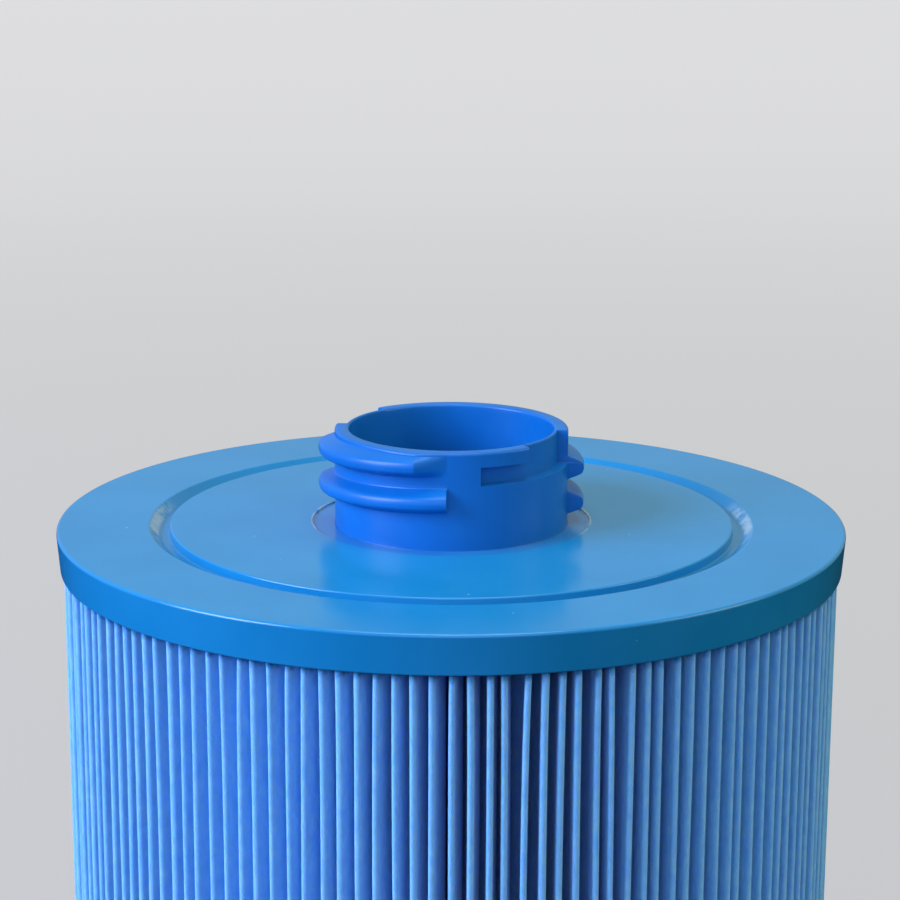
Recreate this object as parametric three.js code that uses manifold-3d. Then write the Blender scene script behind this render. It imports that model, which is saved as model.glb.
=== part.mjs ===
// Spa filter cartridge with a coarse-thread nozzle: pleated media potted between
// two polyurethane end caps, around a perforated core.
//
// Millimetres, +Z up. The cartridge stands on its closed end, nozzle up, with the
// origin at the centre of the face it stands on. Angles are in degrees, measured
// from the front (-Y) and growing anticlockwise seen from above, so 90 is +X.

import * as THREE from 'three';
import { mergeVertices } from 'three/addons/utils/BufferGeometryUtils.js';
import Module from 'manifold-3d';

const wasm = await Module();
wasm.setup();

// Driving dimensions
const bodyLength = 203; // over the outer faces of the two end caps
const gap = 0.3; // clearance left between neighbouring pieces
const roundSegments = 64;
const sweepSteps = 6;
const overcut = 1; // how far a cutting body reaches past what it cuts
const weldDistance = 1e-4;

// End caps: a cast plate with a thin skirt around the ends of the pleats
const capRadius = 75;
const capFootRadius = 74.4; // at the skirt's free edge, because the mould has draft
const capHeight = 7.4;
const capPlate = 3.8;
const capEdge = 0.5; // bevel on the outer edge
const grooveInner = 53.6; // ring groove cast into the outer face
const grooveOuter = 57.5;
const grooveDepth = 1.8;
const grooveFloor = 1.7; // width of the flat floor, next to the steep inner side
const dishRadius = 21; // shallow dish in the middle of the closed end
const dishDepth = 1;

// Threaded nozzle
const tubeRadius = 22.2;
const boreRadius = 19.5;
const nozzleHeight = 18.1; // rim above the top cap's face
const rimBevel = 0.4;
const bossRadius = 26.1; // raised ring of the flange that shows around the tube
const bossDrop = 0.6; // boss face below the cap's face
const flangeRadius = 33; // disc buried in the top cap
const flangeThickness = 1.8;
const spigotRadius = 24.3; // plugs into the core
const spigotBore = 22;
const spigotLength = 8;

// Thread: one right-hand start, cut away in two opposite quarters
const threadCrest = 25.4;
const threadPitch = 6.8;
const threadStart = 4; // centre of the lowest ridge above the cap's face
const ridgeRootWidth = 4.6;
const ridgeCrestWidth = 2.3;
const ridgeArc = 95;
const ridgeFirstAngle = 83;
const ridgeSteps = 14;
const ridgeCount = 4;
const runOutArc = 14; // the last ridge sinks to the tube over this
const fadedHeight = 0.1; // left of a ridge where it has run out

// L-shaped bayonet slots, in the two quarters that have no thread
const slotWall = 0.7; // wall left behind the slot
const slotBottom = 11.8; // above the cap's face
const slotTop = 15.2;
const slotBlindAngle = 14.3; // closed end, under the lip
const slotMouthAngle = 40.7; // from here on the slot is open to the rim
const slotEndAngle = 83; // where the thread starts

// Core: two moulded lattice sections, one plugged into the other
const coreRadius = 27;
const coreBore = 24.6;
const lapLength = 6;
const lapRadius = 25.6;
const coreSegments = 24;
const windowWidth = 14;
const windowHeight = 13;
const windowPitch = 16.5;
const windowRows = 5;
const windowColumns = 8; // opposite windows are cut by one bar
const windowMargin = 8; // solid band at the outer end of each section
const plugDisc = 4.5;
const plugLength = 6;
const plugBore = 22;

// Pleated media
const mediaRadius = 73.5;
const mediaInner = 28;
const pleatCount = 146;
const tipWidth = 1.2;
const valleyDepth = 2.5; // of the V drawn between two pleats

// Clip over the joined ends of the sheet
const clipWidth = 2.6;
const clipSlot = 1.8;
const clipDepth = 7;
const clipBridge = 0.6;

// Levels worked out from the dimensions above
const capFace = bodyLength;
const topPlateUnder = capFace - capPlate;
const mediaBottom = capPlate + gap;
const mediaTop = topPlateUnder - gap;
const rim = capFace + nozzleHeight;
const flangeTop = topPlateUnder + flangeThickness;
const coreFoot = mediaBottom + plugDisc + gap;
const coreTop = mediaTop;
const coreMiddle = (coreFoot + coreTop) / 2;

const radians = THREE.MathUtils.degToRad;

// ---- shape helpers -------------------------------------------------------

// Turns an outline of [radius, height] points about Z. The outline runs
// anticlockwise, and starts and ends on the axis or closes on itself.
function turned(outline, segments = roundSegments) {
  const points = outline.map(([radius, height]) => new THREE.Vector2(radius, height));
  const onAxis = outline[0][0] === 0;
  if (!onAxis) points.push(points[0].clone());
  return new THREE.LatheGeometry(points, segments).rotateX(Math.PI / 2);
}

// Sweeps a section of [height, radius] points around Z from one angle to another.
// It climbs by `pitch` in a full turn. Where `fadeTo` is given, what stands out over
// that radius sinks to it over the last `fadeArc` degrees.
function swept(section, from, to, { steps = sweepSteps, pitch = 0, fadeTo = Infinity, fadeArc = 1 } = {}) {
  const shape = new THREE.Shape(section.map(([height, radius]) => new THREE.Vector2(height, radius)));
  const arc = to - from;
  const geometry = new THREE.ExtrudeGeometry(shape, { depth: arc, steps, bevelEnabled: false });
  const position = geometry.attributes.position;
  for (let i = 0; i < position.count; i += 1) {
    const turn = position.getZ(i);
    const angle = radians(from + turn);
    const height = position.getX(i) + (pitch * turn) / 360;
    const sunk = Math.max(0, 1 - (arc - turn) / fadeArc);
    const radius = position.getY(i) - sunk * Math.max(0, position.getY(i) - fadeTo);
    position.setXYZ(i, radius * Math.sin(angle), -radius * Math.cos(angle), height);
  }
  return geometry;
}

function rectangle(bottom, top, inner, outer) {
  return [[bottom, inner], [top, inner], [top, outer], [bottom, outer]];
}

function toSolid(geometry) {
  const bare = geometry.clone();
  bare.deleteAttribute('normal');
  bare.deleteAttribute('uv');
  const merged = mergeVertices(bare, weldDistance);
  return new wasm.Manifold(new wasm.Mesh({
    numProp: 3,
    vertProperties: new Float32Array(merged.attributes.position.array),
    triVerts: new Uint32Array(merged.index.array),
  }));
}

function toGeometry(solid) {
  const mesh = solid.getMesh();
  const geometry = new THREE.BufferGeometry();
  geometry.setAttribute('position', new THREE.BufferAttribute(mesh.vertProperties, 3));
  geometry.setIndex(new THREE.BufferAttribute(mesh.triVerts, 1));
  geometry.computeVertexNormals();
  return geometry;
}

// ---- end caps ------------------------------------------------------------

// Groove outline from its outer to its inner edge, in depths below the face: a
// sloping outer side, a narrow floor and a steep inner side.
const groove = [
  [grooveOuter, 0],
  [grooveInner + grooveFloor, grooveDepth],
  [grooveInner, grooveDepth],
  [grooveInner, 0],
];

function topEndCap() {
  const pocket = flangeRadius + gap;
  const seat = bossRadius + gap;
  return turned([
    [pocket, topPlateUnder],
    [mediaRadius + gap, topPlateUnder],
    [mediaRadius + gap, capFace - capHeight],
    [capFootRadius, capFace - capHeight],
    [capRadius, capFace - capEdge],
    [capRadius - capEdge, capFace],
    ...groove.map(([radius, depth]) => [radius, capFace - depth]),
    [seat, capFace],
    [seat, flangeTop + gap],
    [pocket, flangeTop + gap],
  ]);
}

function bottomEndCap() {
  return turned([
    [0, dishDepth],
    [dishRadius - dishDepth, dishDepth],
    [dishRadius, 0],
    ...groove.toReversed(),
    [capRadius - capEdge, 0],
    [capRadius, capEdge],
    [capFootRadius, capHeight],
    [mediaRadius + gap, capHeight],
    [mediaRadius + gap, capPlate],
    [0, capPlate],
  ]);
}

// ---- nozzle --------------------------------------------------------------

function nozzleBody() {
  return turned([
    [spigotBore, topPlateUnder - spigotLength],
    [spigotRadius, topPlateUnder - spigotLength],
    [spigotRadius, topPlateUnder],
    [flangeRadius, topPlateUnder],
    [flangeRadius, flangeTop],
    [bossRadius, flangeTop],
    [bossRadius, capFace - bossDrop],
    [tubeRadius, capFace - bossDrop],
    [tubeRadius, rim - rimBevel],
    [tubeRadius - rimBevel, rim],
    [boreRadius + rimBevel, rim],
    [boreRadius, rim - rimBevel],
    [boreRadius, topPlateUnder + spigotBore - boreRadius],
    [spigotBore, topPlateUnder],
  ]);
}

// One ridge of the thread. The ridges follow one helix, half a turn apart.
function threadRidge(index, runsOut) {
  const from = ridgeFirstAngle + 180 * index;
  const centre = capFace + threadStart + (threadPitch * index) / 2;
  const root = tubeRadius - overcut;
  const section = [
    [centre - ridgeRootWidth / 2, root],
    [centre + ridgeRootWidth / 2, root],
    [centre + ridgeRootWidth / 2, tubeRadius],
    [centre + ridgeCrestWidth / 2, threadCrest],
    [centre - ridgeCrestWidth / 2, threadCrest],
    [centre - ridgeRootWidth / 2, tubeRadius],
  ];
  return swept(section, from, from + ridgeArc, {
    steps: ridgeSteps,
    pitch: threadPitch,
    fadeTo: runsOut ? tubeRadius + fadedHeight : Infinity,
    fadeArc: runOutArc,
  });
}

function bayonetSlot(turn) {
  const inner = boreRadius + slotWall;
  const outer = tubeRadius + overcut;
  const run = rectangle(capFace + slotBottom, capFace + slotTop, inner, outer);
  const mouth = rectangle(capFace + slotBottom, rim + overcut, inner, outer);
  const blind = swept(run, turn + slotBlindAngle, turn + slotEndAngle);
  const open = swept(mouth, turn + slotMouthAngle, turn + slotEndAngle);
  return toSolid(blind).add(toSolid(open));
}

function threadedNozzle() {
  let nozzle = toSolid(nozzleBody());
  for (let index = 0; index < ridgeCount; index += 1) {
    const isTop = index === ridgeCount - 1;
    nozzle = nozzle.add(toSolid(threadRidge(index, isTop)));
  }
  const overRim = turned([
    [boreRadius, rim],
    [threadCrest + overcut, rim],
    [threadCrest + overcut, rim + ridgeRootWidth],
    [boreRadius, rim + ridgeRootWidth],
  ]);
  nozzle = nozzle.subtract(toSolid(overRim));
  for (const turn of [0, 180]) {
    nozzle = nozzle.subtract(bayonetSlot(turn));
  }
  return toGeometry(nozzle);
}

// ---- core ----------------------------------------------------------------

// Cuts the rows of windows through a core section, upwards from `firstRow`.
function withWindows(section, firstRow) {
  let lattice = toSolid(section);
  for (let row = 0; row < windowRows; row += 1) {
    for (let column = 0; column < windowColumns / 2; column += 1) {
      const bar = new THREE.BoxGeometry(2 * (coreRadius + overcut), windowWidth, windowHeight);
      bar.translate(0, 0, firstRow + windowHeight / 2 + row * windowPitch);
      bar.rotateZ(radians((360 * column) / windowColumns));
      lattice = lattice.subtract(toSolid(bar));
    }
  }
  return toGeometry(lattice);
}

function coreLowerSection() {
  const socket = coreMiddle - lapLength / 2;
  const section = turned([
    [coreBore, coreFoot],
    [coreRadius, coreFoot],
    [coreRadius, coreMiddle + lapLength / 2],
    [lapRadius + gap, coreMiddle + lapLength / 2],
    [lapRadius + gap, socket],
    [coreBore, socket],
  ], coreSegments);
  return withWindows(section, coreFoot + windowMargin);
}

function coreUpperSection() {
  const shoulder = coreMiddle + lapLength / 2 + gap;
  const section = turned([
    [coreBore, coreMiddle - lapLength / 2 + gap],
    [lapRadius, coreMiddle - lapLength / 2 + gap],
    [lapRadius, shoulder],
    [coreRadius, shoulder],
    [coreRadius, coreTop],
    [coreBore, coreTop],
  ], coreSegments);
  const lattice = (windowRows - 1) * windowPitch + windowHeight;
  return withWindows(section, coreTop - windowMargin - lattice);
}

function coreEndPlug() {
  const disc = mediaBottom + plugDisc;
  return turned([
    [0, mediaBottom],
    [coreRadius, mediaBottom],
    [coreRadius, disc],
    [spigotRadius, disc],
    [spigotRadius, disc + plugLength],
    [plugBore, disc + plugLength],
    [plugBore, disc],
    [0, disc],
  ], coreSegments);
}

// ---- media ---------------------------------------------------------------

// A point in plan, with `across` as a small sideways step at that radius.
function planPoint(radius, angle, across) {
  const turn = radians(angle) + across / radius;
  return new THREE.Vector2(radius * Math.sin(turn), -radius * Math.cos(turn));
}

// The folded sheet, drawn as a ring with a V-shaped valley between the pleats. The
// pleat at the back is a narrow fin, which holds the sheet's two ends.
function pleatedMedia() {
  const pitch = 360 / pleatCount;
  const half = tipWidth / 2;
  const notch = clipWidth / 2 + gap;
  const notchFloor = mediaRadius - clipDepth - gap;
  const finTip = mediaRadius - clipBridge - gap;
  const outside = [
    planPoint(mediaRadius - valleyDepth / 2, 180, -notch),
    planPoint(notchFloor, 180, -notch),
    planPoint(notchFloor, 180, -half),
    planPoint(finTip, 180, -half),
    planPoint(finTip, 180, half),
    planPoint(notchFloor, 180, half),
    planPoint(notchFloor, 180, notch),
    planPoint(mediaRadius - valleyDepth / 2, 180, notch),
  ];
  for (let pleat = 1; pleat < pleatCount; pleat += 1) {
    const angle = 180 + pleat * pitch;
    outside.push(planPoint(mediaRadius, angle, -half));
    outside.push(planPoint(mediaRadius, angle, half));
    if (pleat < pleatCount - 1) {
      outside.push(planPoint(mediaRadius - valleyDepth, angle + pitch / 2, 0));
    }
  }
  const inside = [];
  for (let turn = 0; turn < 360; turn += 360 / roundSegments) {
    inside.push(planPoint(mediaInner, turn, 0));
  }
  const shape = new THREE.Shape(outside);
  shape.holes.push(new THREE.Path(inside));
  const geometry = new THREE.ExtrudeGeometry(shape, { depth: mediaTop - mediaBottom, bevelEnabled: false });
  return geometry.translate(0, 0, mediaBottom);
}

// U-shaped clip, open towards the core, over the pleat at the back.
function mediaSeamClip() {
  const half = clipWidth / 2;
  const slot = clipSlot / 2;
  const inner = mediaRadius - clipDepth;
  const bridge = mediaRadius - clipBridge;
  const shape = new THREE.Shape([
    new THREE.Vector2(-half, inner),
    new THREE.Vector2(-slot, inner),
    new THREE.Vector2(-slot, bridge),
    new THREE.Vector2(slot, bridge),
    new THREE.Vector2(slot, inner),
    new THREE.Vector2(half, inner),
    new THREE.Vector2(half, mediaRadius),
    new THREE.Vector2(-half, mediaRadius),
  ]);
  const geometry = new THREE.ExtrudeGeometry(shape, { depth: mediaTop - mediaBottom, bevelEnabled: false });
  return geometry.translate(0, 0, mediaBottom);
}

// ---- assembly ------------------------------------------------------------

const polyurethane = { color: 0x3f93d2, roughness: 0.3, metalness: 0 };
const nozzlePlastic = { color: 0x1668dd, roughness: 0.35, metalness: 0 };
const corePlastic = { color: 0x2f6fc4, roughness: 0.45, metalness: 0 };
const mediaCloth = { color: 0x5b97ec, roughness: 0.95, metalness: 0 };

const cartridge = new THREE.Group();

function addPiece(name, geometry, finish) {
  const mesh = new THREE.Mesh(geometry, new THREE.MeshStandardMaterial(finish));
  mesh.name = name;
  cartridge.add(mesh);
}

addPiece('top_end_cap', topEndCap(), polyurethane);
addPiece('threaded_nozzle', threadedNozzle(), nozzlePlastic);
addPiece('pleated_media', pleatedMedia(), mediaCloth);
addPiece('media_seam_clip', mediaSeamClip(), corePlastic);
addPiece('core_upper_section', coreUpperSection(), corePlastic);
addPiece('core_lower_section', coreLowerSection(), corePlastic);
addPiece('core_end_plug', coreEndPlug(), corePlastic);
addPiece('bottom_end_cap', bottomEndCap(), polyurethane);

export default cartridge;
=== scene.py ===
"""Looks of a spa filter cartridge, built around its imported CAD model.

Metres, +Z up. Angles are in degrees, measured from the front (-Y) and growing
anticlockwise seen from above, so 90 is +X.
"""
import math

import bmesh
import bpy
import numpy as np
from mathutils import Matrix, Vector


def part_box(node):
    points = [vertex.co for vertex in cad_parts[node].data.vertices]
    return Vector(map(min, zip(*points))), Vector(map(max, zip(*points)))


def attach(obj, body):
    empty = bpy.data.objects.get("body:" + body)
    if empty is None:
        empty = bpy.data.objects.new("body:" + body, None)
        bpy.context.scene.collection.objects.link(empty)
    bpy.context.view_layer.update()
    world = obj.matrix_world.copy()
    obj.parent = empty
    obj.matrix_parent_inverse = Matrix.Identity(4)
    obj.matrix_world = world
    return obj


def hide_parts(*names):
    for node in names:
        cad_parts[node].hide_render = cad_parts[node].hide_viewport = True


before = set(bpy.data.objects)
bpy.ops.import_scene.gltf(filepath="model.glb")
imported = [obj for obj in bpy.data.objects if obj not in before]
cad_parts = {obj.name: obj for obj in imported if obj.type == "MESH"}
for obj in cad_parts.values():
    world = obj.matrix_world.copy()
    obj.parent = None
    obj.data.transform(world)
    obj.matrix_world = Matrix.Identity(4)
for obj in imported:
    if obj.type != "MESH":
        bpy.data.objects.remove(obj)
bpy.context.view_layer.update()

MM = 0.001

# Levels and radii that the CAD model sets
CAP_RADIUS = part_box("top_end_cap")[1].x
CAP_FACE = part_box("top_end_cap")[1].z
CAP_HEIGHT = CAP_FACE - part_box("top_end_cap")[0].z
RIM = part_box("threaded_nozzle")[1].z
SPIGOT_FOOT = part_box("threaded_nozzle")[0].z
FLANGE_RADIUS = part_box("threaded_nozzle")[1].x
MEDIA_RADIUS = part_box("pleated_media")[1].x
MEDIA_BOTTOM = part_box("pleated_media")[0].z
MEDIA_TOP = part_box("pleated_media")[1].z
CORE_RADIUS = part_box("core_upper_section")[1].x
CORE_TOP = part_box("core_upper_section")[1].z
CORE_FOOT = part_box("core_lower_section")[0].z
LAP_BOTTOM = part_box("core_upper_section")[0].z
LAP_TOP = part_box("core_lower_section")[1].z
PLUG_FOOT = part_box("core_end_plug")[0].z
PLUG_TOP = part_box("core_end_plug")[1].z
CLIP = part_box("media_seam_clip")

GAP = 0.3 * MM

# End caps
CAP_SEGMENTS = 876  # six to a pleat
CAP_FOOT_RADIUS = CAP_RADIUS - 0.6 * MM
CAP_PLATE = 3.8 * MM
CAP_EDGE_FILLET = 0.55 * MM
LIP_FILLET = 0.3 * MM
SKIRT_INNER = MEDIA_RADIUS + 0.1 * MM
FILL_DEPTH = 0.7 * MM  # the resin between the pleats stops this far inside the skirt's lip
GROOVE_INNER = 53.6 * MM
GROOVE_OUTER = 57.5 * MM
GROOVE_FLOOR = 1.7 * MM
GROOVE_DEPTH = 1.8 * MM
DISH_RADIUS = 21 * MM
DISH_DEPTH = 1 * MM

# Nozzle
TUBE_RADIUS = 22.2 * MM
BORE_RADIUS = 19.5 * MM
TUBE_SEGMENTS = 720
TUBE_ROWS = 176
RIM_FILLET = 0.5 * MM
BOSS_RADIUS = 26.1 * MM
BOSS_FACE = CAP_FACE - 0.6 * MM
FILM_FACE = CAP_FACE - 0.4 * MM  # resin that ran over the boss, up to the tube
FILM_UNDER = BOSS_FACE + 0.06 * MM
FILM_EDGE = TUBE_RADIUS + 0.08 * MM
FLANGE_UNDER = CAP_FACE - CAP_PLATE
FLANGE_TOP = FLANGE_UNDER + 1.8 * MM
SPIGOT_RADIUS = 24.3 * MM
SPIGOT_BORE = 22 * MM

# Thread: ridges half a turn apart on one helix. Heights are above the cap's face.
RIDGE_COUNT = 4
RIDGE_HEIGHT = 3.2 * MM
THREAD_PITCH = 6.8 * MM
THREAD_START = 4 * MM
RIDGE_ROOT = 4.6 * MM
RIDGE_CREST = 2.3 * MM
RIDGE_FIRST = 83
RIDGE_ARC = 95
END_WIDTH = 0.5  # degrees over which the end of a ridge or a slot rises
RUN_OUT = 14  # the last ridge sinks to the tube over this arc
RUN_OUT_CURVE = 1.4

# Bayonet slots: a blind leg, and a mouth that is open to the rim
SLOT_DEPTH = 2 * MM
SLOT_BOTTOM = 11.8 * MM
SLOT_TOP = 15.2 * MM
SLOT_EDGE = 0.2 * MM
SLOT_BLIND = 14.3
SLOT_MOUTH = 40.7
SLOT_END = RIDGE_FIRST

# Pleats
PLEAT_COUNT = 146
SHEET_THICKNESS = 0.45 * MM
TIP_RADIUS = MEDIA_RADIUS + 0.2 * MM
FOLD_RADIUS = 0.58 * MM  # of the outer surface, at a pleat's tip
ROOT_RADIUS = 30 * MM
ROOT_HALF_WIDTH = 0.5 * MM
PLEAT_ROWS = 32
PLEAT_BEND = 1.5 * MM  # sideways, halfway along the part that bends
BEND_LENGTH = 16 * MM  # depth of the part below the tip that bends out and back

# Unevenness of the pleats: sideways drift of the tips, depth, and share of the width
DRIFT_SPREAD = 0.20 * MM
DRIFT_WAVE = 0.10 * MM
DRIFT_MOST = 0.62 * MM
DRIFT_HOLD = 9 * MM  # the caps' hold fades over this length
DRIFT_CURVE = 1.5
DEPTH_SPREAD = 0.10 * MM
DEPTH_MOST = 0.2 * MM
WIDTH_SPREAD = 0.07
WIDTH_MOST = 0.15
SEAM_SUNK = 0.7 * MM  # the seam pleat is this much shallower, and narrower by a tenth
SEAM_NARROWED = 0.1

# Core
CORE_BORE = 24.6 * MM
LAP_RADIUS = 25.6 * MM
WINDOW_HEIGHT = 13 * MM
WINDOW_PITCH = 16.5 * MM
WINDOW_ROWS = 5
WINDOW_COLUMNS = 8
COLUMN_CELLS = 9  # of the core's grid, round the axis: a window and the bar beside it
WINDOW_CELLS = 6
WINDOW_MARGIN = 8 * MM
PLUG_BORE = 22 * MM
PLUG_DISC = 4.5 * MM

# Clip over the seam pleat
CLIP_LEG = 0.4 * MM
CLIP_BRIDGE = 0.6 * MM
CLIP_LIP = 0.15 * MM
CLIP_FLARE = 0.35 * MM  # of the legs' mouth

SHARP_ANGLE = 38  # edges that turn by more than this are shaded as sharp


# ---- mesh helpers ---------------------------------------------------------


def around(radius, angle, height):
    """Points at a radius, an angle in degrees and a height, as an array of xyz."""
    radius, angle, height = np.broadcast_arrays(radius, np.radians(angle), height)
    return np.stack([radius * np.sin(angle), -radius * np.cos(angle), height], axis=-1)


def mesh_object(name, points, faces):
    """A smooth-shaded object from vertices and faces, with its sharp edges marked."""
    mesh = bpy.data.meshes.new(name)
    mesh.from_pydata(points.tolist(), [], faces)
    mesh.shade_smooth()
    mesh.set_sharp_from_angle(angle=math.radians(SHARP_ANGLE))
    piece = bpy.data.objects.new(name, mesh)
    bpy.context.scene.collection.objects.link(piece)
    return piece


def grid_object(name, points, closed_outline=True):
    """Skins a grid of points: rows go round the axis, columns along a section.

    The rows always close on themselves. The section does too, unless it starts and
    ends on the axis or at free edges.
    """
    rows, columns = points.shape[:2]
    index = np.arange(rows * columns).reshape(rows, columns)
    index = np.concatenate([index, index[:1]], axis=0)
    if closed_outline:
        index = np.concatenate([index, index[:, :1]], axis=1)
    corners = [index[:-1, :-1], index[1:, :-1], index[1:, 1:], index[:-1, 1:]]
    faces = np.stack(corners, axis=-1).reshape(-1, 4)
    return mesh_object(name, points.reshape(-1, 3), faces.tolist())


def weld(piece):
    """Merges the vertices that lie on the axis, where a turned outline starts or ends."""
    body = bmesh.new()
    body.from_mesh(piece.data)
    bmesh.ops.remove_doubles(body, verts=body.verts, dist=1e-7)
    body.to_mesh(piece.data)
    body.free()


def unit(vector):
    return vector / np.linalg.norm(vector)


def rounded(corners, steps=5, hold=0.08 * MM):
    """An outline of [radius, height] points from (radius, height, fillet) corners.

    Each fillet becomes an arc. A point close outside each end of the arc keeps the
    flat face beside it flat in the shading.
    """
    points = []
    for number, (radius, height, fillet) in enumerate(corners):
        corner = np.array([radius, height])
        if fillet == 0:
            points.append(corner)
            continue
        before = np.array(corners[number - 1][:2])
        after = np.array(corners[(number + 1) % len(corners)][:2])
        back, ahead = unit(before - corner), unit(after - corner)
        half = math.acos(np.clip(back @ ahead, -1, 1)) / 2
        reach = fillet / math.tan(half)
        centre = corner + unit(back + ahead) * fillet / math.sin(half)
        start = corner + back * reach
        end = corner + ahead * reach
        first = math.atan2(*(start - centre)[::-1])
        swing = math.atan2(*(end - centre)[::-1]) - first
        swing = (swing + math.pi) % (2 * math.pi) - math.pi
        turns = first + swing * np.linspace(0, 1, steps)
        points.append(start + back * hold)
        points.extend(centre + fillet * np.stack([np.cos(turns), np.sin(turns)], axis=-1))
        points.append(end + ahead * hold)
    return np.array(points)


def turned(name, outline, segments, closed_outline=True):
    """Turns an anticlockwise outline of [radius, height] points round the axis."""
    angles = np.linspace(0, 360, segments, endpoint=False)
    radius, height = outline.T
    points = around(radius[None, :], angles[:, None], height[None, :])
    piece = grid_object(name, points, closed_outline)
    if not closed_outline:
        weld(piece)
    return piece


def smooth_step(x):
    x = np.clip(x, 0, 1)
    return x * x * (3 - 2 * x)


def past(position, edge, width):
    """Rises smoothly from 0 to 1 where the position passes the edge."""
    return smooth_step((position - edge) / width + 0.5)


def add_modifier(piece, kind, **settings):
    modifier = piece.modifiers.new(kind.lower(), kind)
    for setting, value in settings.items():
        setattr(modifier, setting, value)
    return modifier


def install(piece, node, material):
    """Puts a finished piece in the place of a CAD node."""
    piece.data.materials.append(material)
    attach(piece, "root")
    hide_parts(node)
    return piece


# ---- material helpers -----------------------------------------------------


class Graph:
    """Shortcuts for a node tree. Values and colours are constants or sockets."""

    def __init__(self, tree):
        self.tree = tree

    def add(self, kind, inputs=None, **settings):
        node = self.tree.nodes.new(kind)
        for setting, value in settings.items():
            setattr(node, setting, value)
        for socket, value in (inputs or {}).items():
            if isinstance(value, bpy.types.NodeSocket):
                self.tree.links.new(value, node.inputs[socket])
            else:
                node.inputs[socket].default_value = value
        return node

    def between(self, value, low, high):
        """Stretches the part of a value from low to high over 0 to 1."""
        inputs = {"Value": value, "From Min": low, "From Max": high}
        return self.add("ShaderNodeMapRange", inputs).outputs[0]

    def scaled(self, value, low, high):
        """Maps a value from 0 to 1 onto low to high."""
        inputs = {"Value": value, "To Min": low, "To Max": high}
        return self.add("ShaderNodeMapRange", inputs).outputs[0]

    def combined(self, operation, first, second):
        return self.add("ShaderNodeMath", {0: first, 1: second}, operation=operation).outputs[0]

    def product(self, *values):
        result = values[0]
        for value in values[1:]:
            result = self.combined("MULTIPLY", result, value)
        return result

    def mixed(self, amount, first, second):
        colors = [(*c, 1) if isinstance(c, tuple) else c for c in (first, second)]
        mix = self.add("ShaderNodeMix", {0: amount, 6: colors[0], 7: colors[1]}, data_type="RGBA")
        return mix.outputs[2]


class Finish(Graph):
    """A procedural material round one Principled shader."""

    def __init__(self, name, **sockets):
        self.material = bpy.data.materials.new(name)
        self.material.use_nodes = True
        super().__init__(self.material.node_tree)
        self.shader = self.tree.nodes["Principled BSDF"]
        for socket, value in sockets.items():
            self.shader.inputs[socket.replace("_", " ")].default_value = value
        self.place = self.add("ShaderNodeTexCoord").outputs["Object"]

    def along(self, axis):
        """The place's X, Y or Z in metres, as a socket."""
        return self.add("ShaderNodeSeparateXYZ", {"Vector": self.place}).outputs[axis]

    def from_axis(self):
        """The distance from the part's axis in metres, as a socket."""
        inputs = {0: self.place, 1: (1, 1, 0)}
        flat = self.add("ShaderNodeVectorMath", inputs, operation="MULTIPLY").outputs[0]
        return self.add("ShaderNodeVectorMath", {0: flat}, operation="LENGTH").outputs["Value"]

    def noise(self, size, detail=2.0, roughness=0.5, stretch=(1, 1, 1)):
        """Noise whose features are about `size` metres across, as a socket from 0 to 1."""
        mapped = self.add("ShaderNodeMapping", {"Vector": self.place, "Scale": stretch})
        inputs = {
            "Vector": mapped.outputs[0],
            "Scale": 1 / size,
            "Detail": detail,
            "Roughness": roughness,
        }
        return self.add("ShaderNodeTexNoise", inputs).outputs["Fac"]

    def spots(self, spacing, radius):
        """Small round spots at random places, as a socket that is 1 in a spot."""
        cells = self.add("ShaderNodeTexVoronoi", {"Vector": self.place, "Scale": 1 / spacing})
        rim = radius / spacing
        return self.between(cells.outputs["Distance"], rim, 0.4 * rim)

    def bump(self, height, depth, normal=None):
        """Raises the surface by up to `depth` metres where the height is 1."""
        inputs = {"Height": height, "Distance": depth, "Strength": 1.0}
        if normal is not None:
            inputs["Normal"] = normal
        return self.add("ShaderNodeBump", inputs).outputs[0]

    def wire(self, socket, value):
        self.tree.links.new(value, self.shader.inputs[socket])


# ---- materials ------------------------------------------------------------


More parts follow.
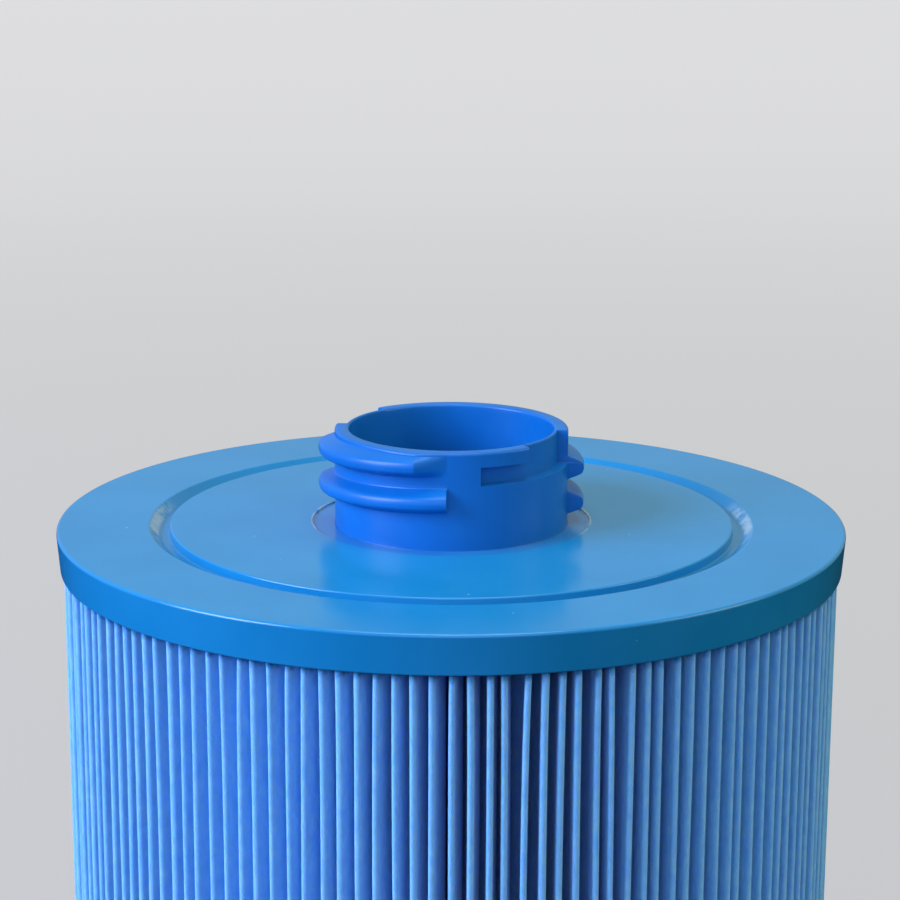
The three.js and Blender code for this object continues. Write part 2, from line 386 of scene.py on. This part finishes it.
def polyurethane():
    """Cast resin: glossy, faintly wavy, clouded, with dust, pinholes and painted highlights."""
    deep, light = (0.007, 0.232, 0.475), (0.012, 0.254, 0.515)
    # the third colour here is a painted highlight, not wear: a pale reflection tint for the crescents below
    over_boss, dusty, painted_highlight_color = (0.020, 0.215, 0.500), (0.45, 0.65, 0.72), (0.29, 0.46, 0.55)
    finish = Finish("cast_polyurethane", Specular_IOR_Level=0.5)
    radius = finish.from_axis()
    clouds = finish.between(finish.noise(22 * MM, detail=3), 0.35, 0.65)
    color = finish.mixed(clouds, deep, light)
    color = finish.mixed(finish.between(radius, 26.6 * MM, 26.3 * MM), color, over_boss)
    dust = finish.spots(9 * MM, 0.28 * MM)
    color = finish.mixed(finish.product(dust, finish.noise(30 * MM)), color, dusty)

    # painted highlights: pale reflection crescents painted at the left and the right, on the groove's outer
    # slope and round the boss
    aside = finish.combined("DIVIDE", finish.combined("ABSOLUTE", finish.along("X"), 0), radius)
    slope = finish.product(
        finish.between(radius, 55.4 * MM, 56.0 * MM),
        finish.between(radius, 57.6 * MM, 57.1 * MM),
        finish.between(aside, 0.965, 0.995),
    )
    boss = finish.product(
        finish.between(radius, 26.1 * MM, 26.3 * MM),
        finish.between(radius, 26.9 * MM, 26.7 * MM),
        finish.between(aside, 0.85, 0.95),
    )
    broken = finish.between(finish.noise(3 * MM, detail=4, roughness=0.7), 0.38, 0.56)
    painted_highlights = finish.product(finish.combined("MAXIMUM", slope, boss), broken)
    color = finish.mixed(painted_highlights, color, painted_highlight_color)
    finish.wire("Base Color", color)
    finish.wire("Roughness", finish.scaled(finish.noise(6 * MM, detail=4), 0.13, 0.23))
    normal = finish.bump(finish.noise(14 * MM, detail=1), 0.05 * MM)
    normal = finish.bump(finish.noise(0.5 * MM, detail=2), 0.004 * MM, normal)
    pinholes = finish.scaled(finish.spots(6.5 * MM, 0.2 * MM), 1, 0)
    finish.wire("Normal", finish.bump(pinholes, 0.08 * MM, normal))
    return finish.material


def moulded_abs():
    """Moulded nozzle plastic: satin, with a fine spark-eroded grain."""
    finish = Finish("moulded_abs", Specular_IOR_Level=0.35)
    clouds = finish.between(finish.noise(12 * MM, detail=2), 0.35, 0.65)
    finish.wire("Base Color", finish.mixed(clouds, (0.0012, 0.142, 0.460), (0.0018, 0.158, 0.500)))
    finish.wire("Roughness", finish.scaled(finish.noise(3 * MM, detail=4), 0.30, 0.42))
    normal = finish.bump(finish.noise(5 * MM, detail=1), 0.02 * MM)
    finish.wire("Normal", finish.bump(finish.noise(0.25 * MM, detail=3), 0.006 * MM, normal))
    return finish.material


def polypropylene():
    """Moulded core plastic: waxy, with faint flow streaks."""
    finish = Finish("moulded_polypropylene", Specular_IOR_Level=0.45)
    streaks = finish.noise(4 * MM, detail=3, stretch=(1, 1, 0.15))
    finish.wire("Base Color", finish.mixed(streaks, (0.020, 0.150, 0.50), (0.032, 0.190, 0.58)))
    finish.wire("Roughness", finish.scaled(finish.noise(2 * MM, detail=4), 0.38, 0.52))
    finish.wire("Normal", finish.bump(finish.noise(0.4 * MM, detail=3), 0.01 * MM))
    return finish.material


def spun_polyester():
    """Non-woven cloth: matted fibres, cloudy density, resin soaked in near the caps."""
    thick, thin, soaked = (0.175, 0.515, 0.950), (0.255, 0.630, 0.990), (0.020, 0.230, 0.46)
    finish = Finish(
        "spun_polyester",
        Roughness=0.92,
        Specular_IOR_Level=0.25,
        Sheen_Weight=0.15,
        Sheen_Roughness=0.5,
        Subsurface_Weight=0.75,
        Subsurface_Radius=(0.2, 0.5, 1.0),
        Subsurface_Scale=0.7 * MM,
    )
    clumps = finish.noise(1.6 * MM, detail=4, roughness=0.65, stretch=(1, 1, 0.5))
    color = finish.mixed(finish.between(clumps, 0.3, 0.7), thick, thin)
    height = finish.along("Z")
    ragged = finish.product(finish.noise(1.2 * MM, detail=3), 2.2 * MM)
    top = finish.combined("ADD", height, ragged)
    bottom = finish.combined("SUBTRACT", height, ragged)
    lip = CAP_FACE - CAP_HEIGHT
    soaked_top = finish.between(top, lip - 0.6 * MM, lip + 0.9 * MM)
    soaked_bottom = finish.between(bottom, CAP_HEIGHT + 0.6 * MM, CAP_HEIGHT - 0.9 * MM)
    color = finish.mixed(soaked_top, color, soaked)
    color = finish.mixed(soaked_bottom, color, soaked)
    finish.wire("Base Color", color)
    fibres = finish.noise(0.35 * MM, detail=4, roughness=0.7)
    normal = finish.bump(finish.noise(2.5 * MM, detail=2, stretch=(1, 1, 0.3)), 0.12 * MM)
    finish.wire("Normal", finish.bump(fibres, 0.05 * MM, normal))
    return finish.material


# ---- end caps -------------------------------------------------------------


def groove_corners(face, side):
    """The ring groove's corners from its outer to its inner edge; side is +1 on top."""
    floor = face - side * GROOVE_DEPTH
    return [
        (GROOVE_OUTER, face, 0.6 * MM),
        (GROOVE_INNER + GROOVE_FLOOR, floor, 0.8 * MM),
        (GROOVE_INNER, floor, 0.35 * MM),
        (GROOVE_INNER, face, 0.3 * MM),
    ]


def top_cap():
    lip = CAP_FACE - CAP_HEIGHT
    fill = lip + FILL_DEPTH
    pocket = FLANGE_RADIUS + GAP
    outline = rounded([
        (SKIRT_INNER, lip, LIP_FILLET),
        (CAP_FOOT_RADIUS, lip, LIP_FILLET),
        (CAP_RADIUS, CAP_FACE, CAP_EDGE_FILLET),
        *groove_corners(CAP_FACE, 1),
        (BOSS_RADIUS + GAP, CAP_FACE, 0.25 * MM),
        (BOSS_RADIUS + GAP, FILM_FACE, 0.1 * MM),
        (FILM_EDGE, FILM_FACE, 0),
        (FILM_EDGE, FILM_UNDER, 0),
        (BOSS_RADIUS + GAP, FILM_UNDER, 0),
        (BOSS_RADIUS + GAP, FLANGE_TOP + GAP, 0),
        (pocket, FLANGE_TOP + GAP, 0),
        (pocket, FLANGE_UNDER - GAP, 0),
        (CORE_RADIUS + GAP, FLANGE_UNDER - GAP, 0),
        (CORE_RADIUS + GAP, fill, 0),
        (SKIRT_INNER, fill, 0.25 * MM),
    ])
    piece = turned("top_cap_casting", outline, CAP_SEGMENTS)
    return install(piece, "top_end_cap", resin)


def bottom_cap():
    fill = CAP_HEIGHT - FILL_DEPTH
    outline = rounded([
        (0, DISH_DEPTH, 0),
        (DISH_RADIUS - DISH_DEPTH, DISH_DEPTH, 0.6 * MM),
        (DISH_RADIUS, 0, 0.4 * MM),
        *reversed(groove_corners(0, -1)),
        (CAP_RADIUS, 0, CAP_EDGE_FILLET),
        (CAP_FOOT_RADIUS, CAP_HEIGHT, LIP_FILLET),
        (SKIRT_INNER, CAP_HEIGHT, LIP_FILLET),
        (SKIRT_INNER, fill, 0.25 * MM),
        (CORE_RADIUS + GAP, fill, 0),
        (CORE_RADIUS + GAP, PLUG_FOOT - GAP, 0),
        (0, PLUG_FOOT - GAP, 0),
    ])
    piece = turned("bottom_cap_casting", outline, CAP_SEGMENTS, closed_outline=False)
    return install(piece, "bottom_end_cap", resin)


# ---- nozzle ---------------------------------------------------------------


def with_edges(regular, edges, width):
    """Adds samples on both sides of each edge, so that a step there stays crisp."""
    offsets = np.array([-1, -0.5, -0.25, 0, 0.25, 0.5, 1]) * width
    near = (np.array(edges)[:, None] + offsets).ravel()
    far = regular[np.abs(regular[:, None] - near[None, :]).min(axis=1) > 0.2 * width]
    return np.unique(np.concatenate([far, near]).round(9))


def ridge_profile(offset):
    """Height of a ridge, from 0 to 1, at an offset from its centre line.

    The flank's straight rise is blended into the crest above it and the tube below it.
    """
    slope = (RIDGE_ROOT / 2 - np.abs(offset)) / (RIDGE_ROOT / 2 - RIDGE_CREST / 2)
    crest_blend, foot_blend = 0.4, 0.1
    below_crest = (slope + 1 - np.hypot(slope - 1, crest_blend)) / 2
    above_tube = (below_crest + np.hypot(below_crest, foot_blend)) / 2
    return np.where(slope < -0.5, 0, above_tube)


def outer_radius(angle, height):
    """The nozzle's outside, at a height above the cap's face: tube, thread and slots."""
    radius = np.full(np.broadcast(angle, height).shape, TUBE_RADIUS)
    for number in range(RIDGE_COUNT):
        turn = (angle - RIDGE_FIRST - 180 * number + 180) % 360 - 180
        centre = THREAD_START + THREAD_PITCH * (number / 2 + turn / 360)
        is_last = number == RIDGE_COUNT - 1
        run_out = np.clip((RIDGE_ARC - turn) / RUN_OUT, 0, 1) ** RUN_OUT_CURVE if is_last else 1
        ends = past(turn, 0, END_WIDTH) * past(RIDGE_ARC, turn, END_WIDTH) * run_out
        ridge = RIDGE_HEIGHT * ridge_profile(height - centre) * ends
        radius = np.maximum(radius, TUBE_RADIUS + ridge)
    turn = angle % 180
    above = past(height, SLOT_BOTTOM, SLOT_EDGE)
    below = past(SLOT_TOP, height, SLOT_EDGE)
    blind = past(turn, SLOT_BLIND, END_WIDTH) * past(SLOT_MOUTH + 1, turn, 1) * below
    mouth = past(turn, SLOT_MOUTH, END_WIDTH) * past(SLOT_END, turn, END_WIDTH)
    return radius - SLOT_DEPTH * above * np.maximum(blind, mouth)


def threaded_nozzle():
    ridge_ends = [(RIDGE_FIRST + 180 * k + arc) % 360 for k in range(2) for arc in (0, RIDGE_ARC)]
    slot_ends = [turn + end for turn in (0, 180) for end in (SLOT_BLIND, SLOT_MOUTH, SLOT_END)]
    angles = np.linspace(0, 360, TUBE_SEGMENTS, endpoint=False)
    angles = with_edges(angles, ridge_ends + slot_ends, END_WIDTH)
    angles = angles[(angles >= 0) & (angles < 360)][:, None]

    wall_foot = BOSS_FACE - CAP_FACE + 0.35 * MM
    wall_top = RIM - CAP_FACE - RIM_FILLET - 0.05 * MM
    heights = np.linspace(wall_foot, wall_top, TUBE_ROWS)
    heights = with_edges(heights, [SLOT_BOTTOM, SLOT_TOP], SLOT_EDGE)[None, :]
    heights = heights[:, (heights[0] >= wall_foot) & (heights[0] <= wall_top)]
    wall = around(outer_radius(angles, heights), angles, CAP_FACE + heights)

    base = rounded([
        (BORE_RADIUS, RIM - 3 * RIM_FILLET, 0),
        (BORE_RADIUS, FLANGE_UNDER + SPIGOT_BORE - BORE_RADIUS, 0.8 * MM),
        (SPIGOT_BORE, FLANGE_UNDER, 0.8 * MM),
        (SPIGOT_BORE, SPIGOT_FOOT, 0.3 * MM),
        (SPIGOT_RADIUS, SPIGOT_FOOT, 0.5 * MM),
        (SPIGOT_RADIUS, FLANGE_UNDER, 0.2 * MM),
        (FLANGE_RADIUS, FLANGE_UNDER, 0.3 * MM),
        (FLANGE_RADIUS, FLANGE_TOP, 0.3 * MM),
        (BOSS_RADIUS, FLANGE_TOP, 0.2 * MM),
        (BOSS_RADIUS, BOSS_FACE, 0.3 * MM),
        (TUBE_RADIUS, BOSS_FACE, 0.3 * MM),
        (TUBE_RADIUS, BOSS_FACE + 0.4 * MM, 0),
    ])[:-1]
    below = around(base[None, :, 0], angles, base[None, :, 1])

    # the rim is rounded as far as the wall's thickness allows, thinner behind the slots
    brink = outer_radius(angles, wall_top)
    fillet = np.minimum(RIM_FILLET, 0.45 * (brink - BORE_RADIUS))
    turn = np.linspace(0, math.pi / 2, 6)[None, :]
    level = RIM - fillet * (1 - np.sin(turn))
    outside = around(brink - fillet * (1 - np.cos(turn)), angles, level)
    inside = around(BORE_RADIUS + fillet * (1 - np.cos(turn)), angles, level)[:, ::-1]
    points = np.concatenate([below, wall, outside, inside], axis=1)
    piece = grid_object("nozzle_moulding", points)
    return install(piece, "threaded_nozzle", abs_plastic)


# ---- pleated media --------------------------------------------------------


def pleat_section():
    """One pleat's outer surface, as (radius, sideways) points from root to root."""
    tip_centre = TIP_RADIUS - FOLD_RADIUS
    bent = np.linspace(tip_centre - BEND_LENGTH, tip_centre - 0.3 * MM, 9)
    straight = np.linspace(ROOT_RADIUS + 0.3 * MM, bent[0], 3)
    levels = np.concatenate([straight[:-1], bent])
    share = (levels - ROOT_RADIUS) / (tip_centre - ROOT_RADIUS)
    side = ROOT_HALF_WIDTH + (FOLD_RADIUS - ROOT_HALF_WIDTH) * share
    turn = np.radians(np.linspace(-90, 90, 9))
    tip = np.stack([tip_centre + FOLD_RADIUS * np.cos(turn), FOLD_RADIUS * np.sin(turn)], axis=-1)
    rising = np.stack([levels, -side], axis=-1)
    falling = np.stack([levels, side], axis=-1)[::-1]
    return np.concatenate([rising, tip, falling])


def pleat_offsets(heights, random):
    """Sideways drift of each pleat's tip at each height, held at the caps."""
    count = PLEAT_COUNT
    near_bottom = np.exp(-(heights[None, :] - heights[0]) / DRIFT_HOLD)
    near_top = np.exp(-(heights[-1] - heights[None, :]) / DRIFT_HOLD)
    middle = random.normal(0, DRIFT_SPREAD, (count, 1))
    wave = random.normal(0, DRIFT_WAVE, (count, 1))
    phase = random.uniform(0, 2 * math.pi, (count, 1))
    length = random.uniform(60, 160, (count, 1)) * MM
    drift = middle + wave * np.sin(2 * math.pi * heights[None, :] / length + phase)
    drift += random.normal(0, DRIFT_SPREAD, (count, 1)) * near_bottom
    drift += random.normal(0, DRIFT_SPREAD, (count, 1)) * near_top
    return np.clip(drift, -DRIFT_MOST, DRIFT_MOST)


def pleated_media():
    random = np.random.default_rng(11)
    margin = CAP_HEIGHT - MEDIA_BOTTOM
    visible = np.linspace(MEDIA_BOTTOM + margin, MEDIA_TOP - margin, PLEAT_ROWS)
    heights = np.concatenate([[MEDIA_BOTTOM], visible, [MEDIA_TOP]])
    section = pleat_section()
    radius = section[None, :, None, 0]
    side = section[None, :, None, 1]
    reach = (radius - ROOT_RADIUS) / (MEDIA_RADIUS - ROOT_RADIUS)
    drift = pleat_offsets(heights, random)[:, None, :]
    each = (PLEAT_COUNT, 1, 1)
    depth = random.normal(0, DEPTH_SPREAD, each).clip(-DEPTH_MOST, DEPTH_MOST)
    width = 1 + random.normal(0, WIDTH_SPREAD, each).clip(-WIDTH_MOST, WIDTH_MOST) * reach
    angle = 180 + 360 / PLEAT_COUNT * np.arange(PLEAT_COUNT)[:, None, None]

    # the seam pleat, first in line at the back, is pressed flat and lies under the clip
    seam = np.zeros(each)
    seam[0] = 1
    drift = drift * (1 - seam)
    depth = depth - seam * SEAM_SUNK
    width = width * (1 - SEAM_NARROWED * seam)
    radius = radius + depth * reach
    turn = 2 * math.pi * np.clip((TIP_RADIUS - radius) / BEND_LENGTH, 0, 1)
    bend = PLEAT_BEND * (1 - np.cos(turn)) / 2 * (1 - seam)
    sideways = side * width + drift * reach ** DRIFT_CURVE + bend
    points = around(radius, angle + np.degrees(sideways / radius), heights[None, None, :])
    points = points.reshape(-1, len(heights), 3)
    piece = grid_object("folded_media", points, closed_outline=False)
    add_modifier(piece, "SOLIDIFY", thickness=SHEET_THICKNESS, offset=-1, use_even_offset=True)
    install(piece, "pleated_media", cloth)
    return piece


def extruded(name, outline, bottom, top):
    """A prism on an anticlockwise outline of [x, y] points."""
    count = len(outline)
    points = [(x, y, z) for z in (bottom, top) for x, y in outline]
    sides = [(i, (i + 1) % count, count + (i + 1) % count, count + i) for i in range(count)]
    ends = [tuple(reversed(range(count))), tuple(range(count, 2 * count))]
    return mesh_object(name, np.array(points), sides + ends)


def seam_clip():
    half = CLIP[1].x
    slot = half - CLIP_LEG
    inner, outer = CLIP[0].y, CLIP[1].y
    bridge = outer - CLIP_BRIDGE
    outline = [
        (-half, inner),
        (-half + CLIP_LIP, inner),
        (-slot, inner + CLIP_FLARE),
        (-slot, bridge),
        (slot, bridge),
        (slot, inner + CLIP_FLARE),
        (half - CLIP_LIP, inner),
        (half, inner),
        (half, outer),
        (-half, outer),
    ]
    piece = extruded("seam_clip_strip", outline, CLIP[0].z, CLIP[1].z)
    add_modifier(piece, "BEVEL", width=0.12 * MM, segments=2, limit_method="ANGLE")
    return install(piece, "media_seam_clip", core_plastic)


# ---- core -----------------------------------------------------------------


def lattice(name, levels, outer, inner, is_open):
    """A perforated tube: cells of a (turn, level) grid, each left solid or open."""
    turns = COLUMN_CELLS * WINDOW_COLUMNS
    rows = len(levels) - 1
    angles = 360 / turns * (np.arange(turns) - WINDOW_CELLS // 2)[:, None]
    heights = np.array(levels)[None, :]
    shells = [around(np.array(radii)[None, :], angles, heights) for radii in (outer, inner)]
    points = np.concatenate([shell.reshape(-1, 3) for shell in shells])
    offset = turns * len(levels)

    def corner(turn, level):
        return turn % turns * len(levels) + level

    def is_solid(turn, row):
        return 0 <= row < rows and not is_open(turn % turns % COLUMN_CELLS, row)

    faces = []
    for turn in range(turns):
        for row in range(rows):
            if not is_solid(turn, row):
                continue
            ring = [
                corner(turn, row),
                corner(turn + 1, row),
                corner(turn + 1, row + 1),
                corner(turn, row + 1),
            ]
            beyond = [(turn, row - 1), (turn + 1, row), (turn, row + 1), (turn - 1, row)]
            faces.append(ring)
            faces.append([offset + c for c in reversed(ring)])
            for side, cell in enumerate(beyond):
                if not is_solid(*cell):
                    first, second = ring[side], ring[(side + 1) % 4]
                    faces.append([second, first, offset + first, offset + second])
    used, renumbered = np.unique(np.array(faces), return_inverse=True)
    piece = mesh_object(name, points[used], renumbered.reshape(-1, 4).tolist())
    bevel = add_modifier(piece, "BEVEL", width=0.35 * MM, segments=2, limit_method="ANGLE")
    bevel.angle_limit = math.radians(40)
    return piece


def window_levels(first, last, window_start):
    """Levels of a section's cells: its ends, and the edges of its rows of windows."""
    starts = [window_start + WINDOW_PITCH * row for row in range(WINDOW_ROWS)]
    edges = [start + step for start in starts for step in (0, WINDOW_HEIGHT)]
    return [first, *edges, last]


def core_lower():
    levels = window_levels(CORE_FOOT, LAP_TOP, CORE_FOOT + WINDOW_MARGIN)
    step = LAP_BOTTOM - GAP
    levels = levels[:-1] + [step, step + 0.05 * MM, LAP_TOP]
    outer = [CORE_RADIUS] * len(levels)
    inner = [CORE_BORE] * (len(levels) - 2) + [LAP_RADIUS + GAP] * 2
    piece = lattice("core_lower_lattice", levels, outer, inner, window_cells(0))
    return install(piece, "core_lower_section", core_plastic)


def core_upper():
    rows_height = (WINDOW_ROWS - 1) * WINDOW_PITCH + WINDOW_HEIGHT
    levels = window_levels(LAP_BOTTOM, CORE_TOP, CORE_TOP - WINDOW_MARGIN - rows_height)
    shoulder = LAP_TOP + GAP
    levels = [LAP_BOTTOM, shoulder - 0.05 * MM, shoulder] + levels[1:]
    outer = [LAP_RADIUS] * 2 + [CORE_RADIUS] * (len(levels) - 2)
    inner = [CORE_BORE] * len(levels)
    piece = lattice("core_upper_lattice", levels, outer, inner, window_cells(2))
    return install(piece, "core_upper_section", core_plastic)


def window_cells(skipped):
    """Tells which cells are windows, where the first `skipped` rows of cells are solid."""

    def is_open(turn, row):
        step = row - 1 - skipped
        return turn < WINDOW_CELLS and 0 <= step < 2 * WINDOW_ROWS and step % 2 == 0

    return is_open


def core_plug():
    disc = PLUG_FOOT + PLUG_DISC
    outline = rounded([
        (0, PLUG_FOOT, 0),
        (CORE_RADIUS, PLUG_FOOT, 0.4 * MM),
        (CORE_RADIUS, disc, 0.4 * MM),
        (SPIGOT_RADIUS, disc, 0.3 * MM),
        (SPIGOT_RADIUS, PLUG_TOP, 0.5 * MM),
        (PLUG_BORE, PLUG_TOP, 0.4 * MM),
        (PLUG_BORE, disc, 0.5 * MM),
        (0, disc, 0),
    ])
    piece = turned("core_plug_moulding", outline, 144, closed_outline=False)
    return install(piece, "core_end_plug", core_plastic)


# ---- stage, light and camera ----------------------------------------------


def backdrop():
    """A round studio bowl: a pale floor that curves up into a wall on every side."""
    corner = 0.55
    wall, top = 2.3, 2.6
    below_part = 0.2 * MM
    turn = np.radians(np.linspace(-90, 0, 17))
    radius = np.concatenate([[0], wall - corner + corner * np.cos(turn), [wall]])
    height = np.concatenate([[0], corner + corner * np.sin(turn), [top]]) - below_part
    angles = np.linspace(0, 360, 144, endpoint=False)
    points = around(radius[None, ::-1], angles[:, None], height[None, ::-1])
    bowl = grid_object("studio_bowl", points, closed_outline=False)
    weld(bowl)
    bowl.data.materials.append(studio_paint())
    bowl.visible_diffuse = False
    bowl.visible_glossy = False
    bowl.visible_shadow = False


def studio_paint():
    """Grey paint that glows a little more the farther it is from the part."""
    finish = Finish("studio_paint", Roughness=0.95, Specular_IOR_Level=0.1)
    clouds = finish.noise(0.6, detail=1)
    finish.wire("Base Color", finish.mixed(clouds, (0.20, 0.195, 0.183), (0.21, 0.205, 0.193)))
    glow = finish.scaled(finish.between(finish.from_axis(), 0.2, 2.3), 0.36, 0.64)
    finish.shader.inputs["Emission Color"].default_value = (1, 1, 1, 1)
    finish.wire("Emission Strength", glow)
    return finish.material


def area_light(name, azimuth, elevation, distance, size, power, color):
    light = bpy.data.lights.new(name, "AREA")
    light.shape = "DISK"
    light.size = size
    light.energy = power
    light.color = color
    lamp = bpy.data.objects.new(name, light)
    bpy.context.scene.collection.objects.link(lamp)
    a, e = math.radians(azimuth), math.radians(elevation)
    away = np.array([math.sin(a) * math.cos(e), -math.cos(a) * math.cos(e), math.sin(e)])
    target = np.array([0, 0, CAP_FACE])
    lamp.location = target + distance * away
    lamp.rotation_euler = aim(-away)
    return lamp


def aim(direction):
    """Euler angles that point a light along a direction."""
    return Vector(direction).to_track_quat("-Z", "Y").to_euler()


def studio_light():
    area_light("key", azimuth=-68, elevation=26, distance=1.4, size=0.9, power=32, color=(0.56, 0.62, 1.0))
    area_light("fill", azimuth=12, elevation=30, distance=1.6, size=1.2, power=2.5, color=(1.0, 0.78, 0.95))
    area_light("front", azimuth=-14, elevation=14, distance=1.5, size=1.0, power=4, color=(0.26, 0.46, 1.0))
    area_light("top", azimuth=0, elevation=88, distance=1.5, size=1.0, power=8.7, color=(0.90, 1.0, 0.91))
    area_light("right", azimuth=80, elevation=25, distance=1.4, size=0.9, power=4.8, color=(0.90, 0.90, 0.64))
    surroundings()


def surroundings():
    """Soft grey all round, brightest behind the part and dark below it."""
    world = bpy.data.worlds.new("studio")
    world.use_nodes = True
    bpy.context.scene.world = world
    graph = Graph(world.node_tree)
    direction = graph.add("ShaderNodeTexCoord").outputs["Generated"]
    x, y, z = graph.add("ShaderNodeSeparateXYZ", {"Vector": direction}).outputs
    sides = graph.mixed(graph.between(x, -0.9, 0.9), (0.26, 0.25, 0.31), (0.38, 0.36, 0.38))
    color = graph.mixed(graph.between(y, 0.0, 0.8), sides, (0.36, 0.45, 0.45))
    color = graph.mixed(graph.between(z, -0.02, -0.2), color, (0.01, 0.01, 0.01))
    graph.tree.links.new(color, graph.tree.nodes["Background"].inputs["Color"])


def camera():
    """A long lens, slightly above the cap, framing the upper part of the cartridge."""
    distance, elevation, roll = 0.525, 0.2592, 0.0037
    aside = -0.225 * MM
    data = bpy.data.cameras.new("camera")
    data.sensor_width = 36
    data.lens = 109.6
    data.shift_y = 0.0762
    data.clip_start, data.clip_end = 0.01, 20
    viewer = bpy.data.objects.new("camera", data)
    bpy.context.scene.collection.objects.link(viewer)
    back = np.array([0, -math.cos(elevation), math.sin(elevation)])
    viewer.location = np.array([aside, 0, CAP_FACE]) + distance * back
    viewer.rotation_euler = (math.pi / 2 - elevation, 0, 0)
    viewer.rotation_euler.rotate_axis("Z", roll)
    bpy.context.scene.camera = viewer


# ---- assembly -------------------------------------------------------------

resin = polyurethane()
abs_plastic = moulded_abs()
core_plastic = polypropylene()
cloth = spun_polyester()

top_cap()
bottom_cap()
threaded_nozzle()
pleated_media()
seam_clip()
core_lower()
core_upper()
core_plug()

backdrop()
studio_light()
camera()
bpy.context.scene.view_settings.view_transform = "Standard"
